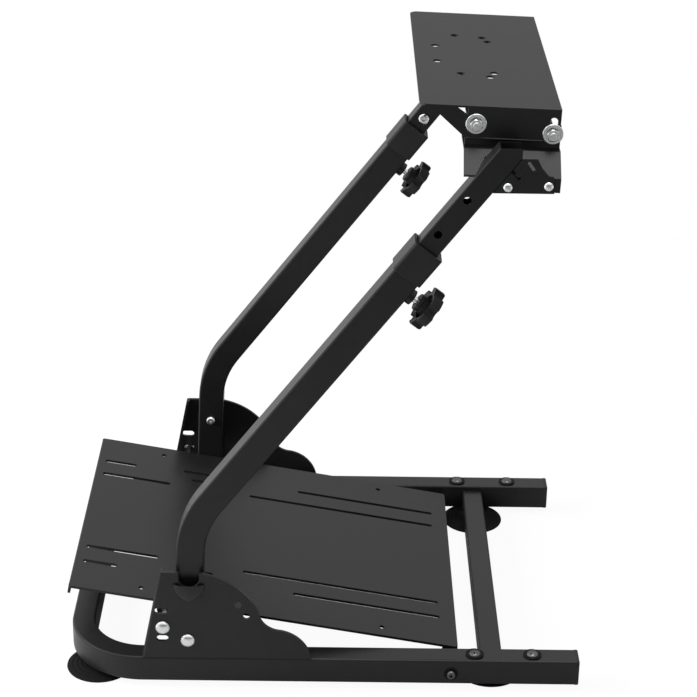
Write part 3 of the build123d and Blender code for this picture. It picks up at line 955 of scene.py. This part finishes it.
@dataclass
class Fasteners:
    """The bolts with their heads, sockets, nuts and washers."""

    half_width: float = 244.0
    half_plate: float = 195.0
    tube_inside: float = 204.4
    gusset_face: float = 232.4
    tray_inside: float = 225.4
    pedal_inside: float = 199.0
    flange_inside: float = 189.2
    pedal_pivot: Pair = (162.882, 24.467)
    tilt_pivot: Pair = (168.957, 736.753)
    tilt_lock: Pair = (257.128, 725.561)
    gusset_bolts: tuple[Pair, ...] = ((205.255, 673.918), (251.555, 675.618))
    bolt_turn: float = 17.0
    socket_share: float = 0.36
    rail_bolts: tuple[float, ...] = (193.0, 266.0)
    rail_middle: float = 229.0
    rail_top: float = 44.0
    rail_head: Pair = (8.0, 5.0)
    rail_washer: tuple[Ring, ...] = ((11.1, 0.0), (11.5, 0.4), (11.5, 1.5), (11.0, 2.0), (7.0, 2.0))
    # thin dark ring behind each pedal pivot head: painted shade of a recess round the head
    pivot_shade_ring: tuple[Ring, ...] = ((8.4, 0.05), (8.8, 0.5), (8.6, 1.1), (8.0, 1.4), (5.0, 1.4))
    screws: tuple[ScrewPlan, ...] = (
        ScrewPlan("upright_lock_bolts", "uprights", (-165.645, 152.150), 204.9, 6.5, 5.0, 3.98, 15.0),
        ScrewPlan("slide_stop_screws", "slide_top", (126.762, 608.270), 207.4, 7.5, 4.0, 3.7, 1.5),
    )

    def plans(self) -> list[BoltPlan]:
        """Lists the bolts along Y.

        Returns:
            One plan for each CAD node of such bolts.
        """
        return [
            BoltPlan("upright_pivot_bolts", "base", Slot.ZINC, ((-168.5, 70.4),), self.half_width,
                     self.tube_inside, Head.DOME, 9.2, 5.6, spacer=(9.0, 4.0, 8.6)),
            BoltPlan("pedal_height_bolts", "base", Slot.ZINC, ((-199.441, 88.885),), self.half_width,
                     self.pedal_inside, Head.DOME, 9.2, 5.6),
            BoltPlan("pedal_pivot_bolts", "base", Slot.BLACK, (self.pedal_pivot,), self.half_width,
                     self.pedal_inside, Head.BUTTON, 6.4, 5.9),
            BoltPlan("tray_bolts", "slide_top", Slot.ZINC, self.gusset_bolts, self.gusset_face,
                     self.tray_inside, Head.DOME, 5.6, 4.0),
            BoltPlan("tilt_pivot_bolts", "slide_top", Slot.ZINC, (self.tilt_pivot,), self.half_plate,
                     self.flange_inside, Head.HEX, 7.4, 5.2, washer=12.0),
            BoltPlan("tilt_lock_bolts", "slide_top", Slot.ZINC, (self.tilt_lock,), self.half_plate,
                     self.flange_inside, Head.HEX, 7.4, 5.2, washer=12.0),
        ]

    @staticmethod
    def button(radius: float, height: float, start: float, socket: float) -> bpy.types.Object:
        """Makes a domed head with a hex socket.

        Args:
            radius: The head's radius in millimetres.
            height: Its height.
            start: The height that it sits at.
            socket: The socket's radius.

        Returns:
            The head along +Z.
        """
        rings = [(radius - 0.3, start), (radius, start + 0.3), (radius, start + 0.8)]
        for step in range(1, 7):
            angle = math.radians(15 * step)
            rings.append((socket + 1.0 + (radius - socket - 1.0) * math.cos(angle),
                          start + 0.8 + (height - 0.8) * math.sin(angle)))
        head = Bench.turned("button_head", rings, 40)
        Bench.cut(head, Bench.prism("socket", 6, socket, start + height * 0.4, start + height + 2.0, 12.0))
        return head

    @staticmethod
    def dome(radius: float, height: float) -> bpy.types.Object:
        """Makes a plain mushroom head with a small centre mark.

        Args:
            radius: The head's radius in millimetres.
            height: Its height.

        Returns:
            The head along +Z.
        """
        rings = [(radius - 0.4, 0.0), (radius, 0.4), (radius, 0.9)]
        for step in range(1, 8):
            angle = math.radians(12 * step)
            rings.append((radius * math.cos(angle), 0.9 + (height - 0.9) * math.sin(angle)))
        return Bench.turned("dome_head", rings + [(0.7, height), (0.5, height - 0.3)], 48)

    @staticmethod
    def hex_nut(radius: float, height: float, start: float) -> bpy.types.Object:
        """Makes a hex nut with chamfered corners.

        Args:
            radius: The corners' radius in millimetres.
            height: Its height.
            start: The height that it sits at.

        Returns:
            The nut along +Z.
        """
        nut = Bench.prism("hex_nut", 6, radius, start, start + height, 9.0)
        end = start + height
        tool = Bench.turned("chamfer", [(radius * 1.6, start - 1.0), (radius * 1.6, end + 2.0)], 40)
        keep = [(radius * 0.96, start - 2.0), (radius * 0.99, start + height * 0.82), (radius * 0.86, end),
                (radius * 0.5, end + 3.0)]
        Bench.cut(tool, Bench.turned("keep", keep, 40))
        Bench.cut(nut, tool)
        return nut

    @staticmethod
    def thread(radius: float, start: float, end: float, pitch: float = 1.25) -> bpy.types.Object:
        """Makes a threaded end as fine grooves.

        Args:
            radius: The thread's radius in millimetres.
            start: Where it starts.
            end: Where it ends.
            pitch: The grooves' spacing.

        Returns:
            The threaded end along +Z.
        """
        rings: list[Ring] = [(radius - 0.5, start)]
        height = start
        while height + pitch < end - 0.4:
            rings += [(radius, height + pitch * 0.3), (radius, height + pitch * 0.5)]
            height += pitch
            rings.append((radius - 0.55, height))
        return Bench.turned("thread", rings + [(radius - 0.9, end)], 32)

    def bolt(self, plan: BoltPlan) -> bpy.types.Object:
        """Makes one bolt along +Z, with the outer face of what it holds at zero.

        Args:
            plan: What the bolt is like.

        Returns:
            The bolt.
        """
        depth = plan.outside - plan.inside
        parts = [Bench.turned("shank", [(plan.shank - 0.02, -depth), (plan.shank - 0.02, 0.2)], 40)]
        start = 0.0
        if plan.washer:
            r = plan.washer
            rings = [(r - 0.4, 0.0), (r, 0.3), (r, 1.5), (r - 0.5, 2.0), (r * 0.76, 2.0), (r * 0.75, 0.3),
                     (r * 0.5, 0.3)]
            parts.append(Bench.turned("washer", rings, 56))
            start = 2.0
        end = start + plan.head_height
        if plan.head is Head.HEX:
            parts.append(self.hex_nut(plan.head_radius, plan.head_height, start))
            parts.append(self.thread(plan.shank - 0.1, end - 1.0, end + 1.9))
        elif plan.head is Head.DOME:
            parts.append(self.dome(plan.head_radius, plan.head_height))
        else:
            socket = plan.head_radius * self.socket_share
            parts.append(self.button(plan.head_radius, plan.head_height, start, socket))
        if plan.spacer:
            r, near, far = plan.spacer
            rings = [(r - 0.4, -far), (r, -far + 0.4), (r, -near - 0.4), (r - 0.4, -near)]
            parts.append(Bench.turned("spacer", rings, 48))
        nut = self.hex_nut(plan.nut_radius, plan.nut_height - 1.0, 0.0)
        nut.data.transform(Matrix.Translation(mm(0, 0, -depth)) @ Matrix.Rotation(math.pi, 4, "X"))
        parts.append(nut)
        return Bench.join("bolt_pattern", parts)

    def build(self, shop: Workshop) -> None:
        """Makes every bolt.

        Args:
            shop: The workshop.
        """
        for plan in self.plans():
            spots = [(mm(x, side.value * plan.outside, z), side.outward(), self.bolt_turn * number)
                     for side in Side for number, (x, z) in enumerate(plan.places)]
            self.spread(shop, self.bolt(plan), f"{plan.node}_made", spots, plan.slot, plan.body, plan.node)
        self.rail_heads(shop)
        self.pivot_shade_rings(shop)
        self.lock_and_stop(shop)

    @staticmethod
    def spread(shop: Workshop, pattern: bpy.types.Object, name: str, spots: Sequence[Spot], slot: Slot,
               body: str, *nodes: str) -> None:
        """Sets copies of a pattern, joins them and delivers them.

        Args:
            shop: The workshop.
            pattern: The fastener along +Z, which is used up.
            name: The joined piece's name.
            spots: Place, axis and turn of each copy.
            slot: Its finish.
            body: The body that carries it.
            *nodes: The CAD nodes that it stands for.
        """
        made = []
        for number, (at, axis, turn) in enumerate(spots):
            made.append(Bench.place(Bench.twin(pattern, f"{name}_{number}"), at, axis, turn))
        bpy.data.objects.remove(pattern)
        whole = Bench.join(name, made)
        Bench.smooth(whole, FOLDS.fastener)
        shop.deliver(whole, slot, body, *nodes)

    def rail_heads(self, shop: Workshop) -> None:
        """Makes the four round heads on the rails and their dark washers.

        Args:
            shop: The workshop.
        """
        spots = [(mm(x, side.value * self.rail_middle, self.rail_top), UP, 0.0)
                 for side in Side for x in self.rail_bolts]
        self.spread(shop, self.dome(*self.rail_head), "rail_bolt_heads", spots, Slot.BLACK, "base",
                    "rail_top_bolts")
        washer = Bench.turned("rail_washer", self.rail_washer, 48)
        self.spread(shop, washer, "rail_bolt_washers", spots, Slot.RUBBER, "base")

    def pivot_shade_rings(self, shop: Workshop) -> None:
        """Makes thin dark rubber-finished rings behind the pedal pivot bolts' heads, which paint the shade of
        a recess round each head.

        Args:
            shop: The workshop.
        """
        x, z = self.pedal_pivot
        spots = [(mm(x, side.value * self.half_width, z), side.outward(), 0.0) for side in Side]
        # the dark rings are painted shade round the pivot heads
        ring = Bench.turned("pivot_shade_ring", self.pivot_shade_ring, 40)
        self.spread(shop, ring, "pedal_pivot_shade_rings", spots, Slot.RUBBER, "base")

    def lock_and_stop(self, shop: Workshop) -> None:
        """Makes the uprights' lock bolts and the slide's stop screws.

        Args:
            shop: The workshop.
        """
        for plan in self.screws:
            x, z = plan.place
            head = self.button(plan.head_radius, plan.head_height, 0.0, plan.head_radius * self.socket_share)
            shank = Bench.turned("shank", [(plan.shank, -plan.depth), (plan.shank, 0.1)], 32)
            screw = Bench.join("inner_screw", [head, shank])
            spots = [(mm(x, side.value * plan.face, z), -side.outward(), 0.0) for side in Side]
            self.spread(shop, screw, f"{plan.node}_made", spots, Slot.ZINC, plan.body, plan.node)


@dataclass
class PlasticCollars:
    """The sleeves on the uprights' ends, with rounded rims."""

    rim: float = 1.1
    steps: int = 3

    def build(self, shop: Workshop) -> None:
        """Makes both sleeves.

        Args:
            shop: The workshop.
        """
        for side in Side:
            label = side.name.lower()
            piece = Bench.copy_of(f"{label}_collar", f"{label}_collar_sleeve")
            Bench.round_edges(piece, self.rim, self.steps, FOLDS.moulded)
            Bench.smooth(piece, FOLDS.moulded)
            shop.deliver(piece, Slot.PLASTIC, "uprights", f"{label}_collar")


@dataclass(frozen=True)
class Lamp:
    """A soft square lamp, in metres and watts."""

    name: str
    at: Place
    aim: Place
    size: float
    power: float
    mirrored: bool = True

    def hang(self) -> None:
        """Hangs the lamp and points it."""
        data = bpy.data.lights.new(self.name, "AREA")
        data.size = self.size
        data.energy = self.power
        lamp = bpy.data.objects.new(self.name, data)
        lamp.visible_glossy = self.mirrored
        bpy.context.scene.collection.objects.link(lamp)
        facing = (Vector(self.aim) - Vector(self.at)).to_track_quat("-Z", "Y").to_matrix().to_4x4()
        lamp.matrix_world = Matrix.Translation(Vector(self.at)) @ facing


@dataclass
class Studio:
    """White ground, soft light and the camera."""

    focal: float = 2039.4
    image: float = 697.0
    sensor: float = 36.0
    pitch: float = 24.787
    yaw: float = -0.418
    roll: float = 0.890
    eye: Place = (11.4, -2410.6, 1475.9)
    sky: float = 0.20
    front: float = 0.34
    front_edge: Pair = (0.45, 0.9)
    left: float = 2.2
    left_edge: Pair = (0.4, 0.9)
    shadow: float = 0.12
    glow: float = 1.07
    floor_radius: float = 1.5
    paper: float = 0.58
    bands: tuple[Pair, ...] = ((0.46, 0.88), (0.54, 0.5), (0.64, 0.25), (0.75, 0.95))
    front_way: Place = (0.0, -0.91, -0.41)
    lamps: tuple[Lamp, ...] = (
        Lamp("left_window", (-3.0, -0.15, 1.5), (0.0, 0.0, 0.25), 2.4, 200.0, mirrored=False),
        Lamp("top_panel", (0.2, -0.3, 3.0), (0.0, 0.0, 0.2), 2.0, 33.0),
    )

    def camera(self) -> None:
        """Sets the camera at the fitted place."""
        pitch, yaw, roll = (math.radians(v) for v in (self.pitch, self.yaw, self.roll))
        ahead = Vector((-math.sin(yaw) * math.cos(pitch), math.cos(yaw) * math.cos(pitch), -math.sin(pitch)))
        right = Vector((math.cos(yaw), math.sin(yaw), 0.0))
        up = right.cross(ahead)
        level, turn = math.cos(roll), math.sin(roll)
        right, up = level * right + turn * up, level * up - turn * right
        data = bpy.data.cameras.new("view")
        data.sensor_width = self.sensor
        data.lens = self.focal * self.sensor / self.image
        data.clip_end = 100.0
        camera = bpy.data.objects.new("view", data)
        bpy.context.scene.collection.objects.link(camera)
        facing = Matrix((right, up, -ahead)).transposed()
        camera.matrix_world = Matrix.Translation(mm(*self.eye)) @ facing.to_4x4()
        bpy.context.scene.camera = camera

    def world(self) -> None:
        """Makes a world that is white to the camera, lights softly and mirrors as a banded room."""
        world = bpy.data.worlds.new("white_room")
        bpy.context.scene.world = world
        world.use_nodes = True
        graph = Graph(world.node_tree)
        way = graph.wire("ShaderNodeTexCoord", "Generated")
        soft = {"interpolation_type": "SMOOTHSTEP"}
        toward = graph.wire("ShaderNodeVectorMath", "Value", {"operation": "DOT_PRODUCT"}, s0=way,
                            s1=self.front_way)
        start, full = self.front_edge
        dim = graph.wire("ShaderNodeMapRange", 0, soft, Value=toward, s1=start, s2=full, s3=1.0,
                         s4=self.front)
        path = graph.node("ShaderNodeLightPath")
        camera = Wire(graph, path.outputs["Is Camera Ray"])
        mirrored = graph.sum("MAXIMUM", Wire(graph, path.outputs["Is Glossy Ray"]),
                             Wire(graph, path.outputs["Is Transmission Ray"]))
        parts = graph.node("ShaderNodeSeparateXYZ", None, Vector=way)
        height = Wire(graph, parts.outputs["Z"]) * 0.5 + 0.5
        band = graph.wire("ShaderNodeValToRGB", 0, {"stops": list(self.bands)}, Fac=height)
        leftward = Wire(graph, parts.outputs["X"]) * -1.0
        start, full = self.left_edge
        window = graph.wire("ShaderNodeMapRange", 0, soft, Value=leftward, s1=start, s2=full, s3=1.0,
                            s4=self.left)
        strength = camera + (1.0 - camera) * (mirrored * dim * band * window + (1.0 - mirrored) * self.sky)
        light = graph.wire("ShaderNodeBackground", 0, None, Color=(1.0, 1.0, 1.0, 1.0), Strength=strength)
        graph.node("ShaderNodeOutputWorld", None, Surface=light)

    def floor(self) -> None:
        """Lays a white floor that keeps a faint shadow."""
        Bench.clear()
        bpy.ops.mesh.primitive_circle_add(vertices=96, radius=self.floor_radius, fill_type="NGON",
                                          location=(0.0, 0.0, -0.0005))
        floor = bpy.context.object
        floor.name = "white_floor"
        material = bpy.data.materials.new("floor_paper")
        material.use_nodes = True
        graph = Graph(material.node_tree)
        paper = graph.wire("ShaderNodeBsdfDiffuse", 0, None, Color=(self.paper, self.paper, self.paper, 1.0))
        white = graph.wire("ShaderNodeEmission", 0, None, Color=(1.0, 1.0, 1.0, 1.0), Strength=self.glow)
        camera = graph.wire("ShaderNodeLightPath", "Is Camera Ray")
        share = camera * (1.0 - self.shadow)
        mixed = graph.wire("ShaderNodeMixShader", 0, None, Fac=share, s1=paper, s2=white)
        graph.node("ShaderNodeOutputMaterial", None, Surface=mixed)
        floor.data.materials.append(material)

    def build(self) -> None:
        """Sets up the studio."""
        self.camera()
        self.world()
        self.floor()
        for lamp in self.lamps:
            lamp.hang()
        bpy.context.scene.view_settings.view_transform = "Standard"


def corners(box: Sequence[Vector]) -> list[list[float]]:
    """Turns a box into plain numbers.

    Args:
        box: Its lowest and highest corners.

    Returns:
        The two corners as lists.
    """
    return [[round(value, 6) for value in corner] for corner in box]


def main() -> None:
    """Builds the studio, the pieces and their finishes."""
    logging.basicConfig(level=logging.INFO, format="%(name)s: %(message)s")
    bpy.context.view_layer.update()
    Studio().build()
    shop = Workshop()
    shop.mix()
    shop.dress_nodes()
    SheetMetal().build(shop)
    PlasticCollars().build(shop)
    RubberFeet().build(shop)
    StarKnobs().build(shop)
    Fasteners().build(shop)
    Bench.clear()


if __name__ == "__main__":
    main()
